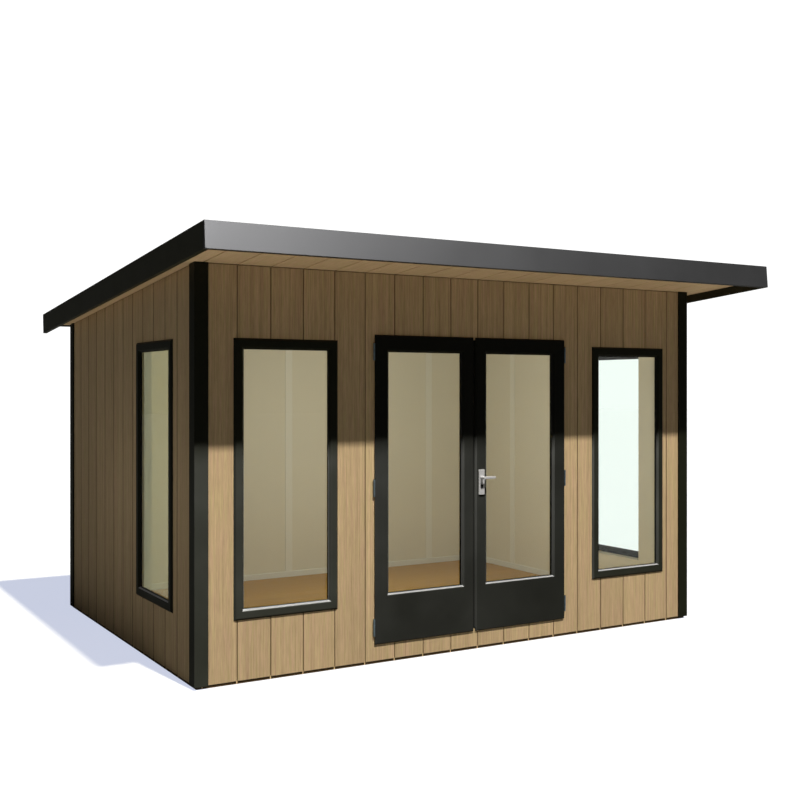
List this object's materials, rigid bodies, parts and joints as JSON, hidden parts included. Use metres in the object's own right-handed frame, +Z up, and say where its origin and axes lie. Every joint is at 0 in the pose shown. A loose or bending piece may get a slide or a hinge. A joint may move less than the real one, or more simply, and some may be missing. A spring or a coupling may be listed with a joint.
{
  "type": "garden office pod",
  "caption": "Timber-clad garden office with a single-pitch roof, tall fixed windows front and side, and a glazed pair of outward-opening doors.",
  "frame": {"origin": "on the ground, at the middle of the roof outline in plan", "axes": "+X along the front to the right as seen from the front, +Y from front to back, +Z up"},
  "size_m": [3.956, 3.2902, 2.4191],
  "materials": {
    "treated_timber": "dark treated sawn timber",
    "floor_board": "matt light wood boards",
    "glass": "clear glazing unit",
    "window_black": "satin black",
    "door_black": "satin black",
    "hinge_steel": "satin",
    "satin_metal": "satin",
    "door_frame_black": "satin black",
    "wall_lining": "matt cream faced panel",
    "skirting_paint": "matt paint",
    "cladding_board": "light brown board with fine vertical grain",
    "soffit_board": "light brown board with fine grain",
    "roof_lining": "matt panel",
    "roof_membrane": "matt black sheet",
    "fascia_black": "glossy black",
    "trim_black": "satin black",
    "gutter_black": "black"
  },
  "bodies": {
    "pod": {"floor_bearers": "treated_timber", "floor_deck": "floor_board", "front_wall_left": "wall_lining", "front_wall_right": "wall_lining", "front_wall_header": "wall_lining", "left_wall": "wall_lining", "right_wall": "wall_lining", "back_wall": "wall_lining", "cladding_front": "cladding_board", "cladding_left": "cladding_board", "cladding_right": "cladding_board", "cladding_back": "cladding_board", "skirting": "skirting_paint", "roof_panel": "roof_lining", "roof_covering": "roof_membrane", "soffit": "soffit_board", "fascia_front": "fascia_black", "fascia_left": "fascia_black", "fascia_right": "fascia_black", "rear_gutter": "gutter_black", "door_jamb_left": "door_frame_black", "door_jamb_right": "door_frame_black", "door_head": "door_frame_black", "door_threshold": "door_frame_black", "corner_trim_front_left": "trim_black", "corner_trim_front_right": "trim_black", "corner_trim_back_left": "trim_black", "corner_trim_back_right": "trim_black", "window_frame_front_left": "window_black", "window_frame_front_right": "window_black", "window_frame_left": "window_black", "window_frame_right": "window_black", "window_glass_front_left": "glass", "window_glass_front_right": "glass", "window_glass_left": "glass", "window_glass_right": "glass", "hinges_fixed": "hinge_steel"},
    "left_door": {"left_door_leaf": "door_black", "left_door_glass": "glass", "left_door_hinges": "hinge_steel"},
    "right_door": {"right_door_leaf": "door_black", "right_door_glass": "glass", "right_door_hinges": "hinge_steel", "handle_set": "satin_metal"},
    "lever": {"door_lever": "satin_metal"}
  },
  "joints": [
    {"name": "left_door_hinge", "type": "hinge", "parent": "pod", "child": "left_door", "pos_m": [-0.7156, -1.0821, 1], "axis": [0, 0, -1], "range_deg": [0, 110]},
    {"name": "right_door_hinge", "type": "hinge", "parent": "pod", "child": "right_door", "pos_m": [0.7156, -1.0821, 1], "axis": [0, 0, 1], "range_deg": [0, 110]},
    {"name": "lever_turn", "type": "hinge", "parent": "right_door", "child": "lever", "pos_m": [0.046, -1.0851, 1.058], "axis": [0, 1, 0], "range_deg": [0, 35], "stiffness_Nm_per_rad": 1.5, "springref_deg": -22.92}
  ]
}
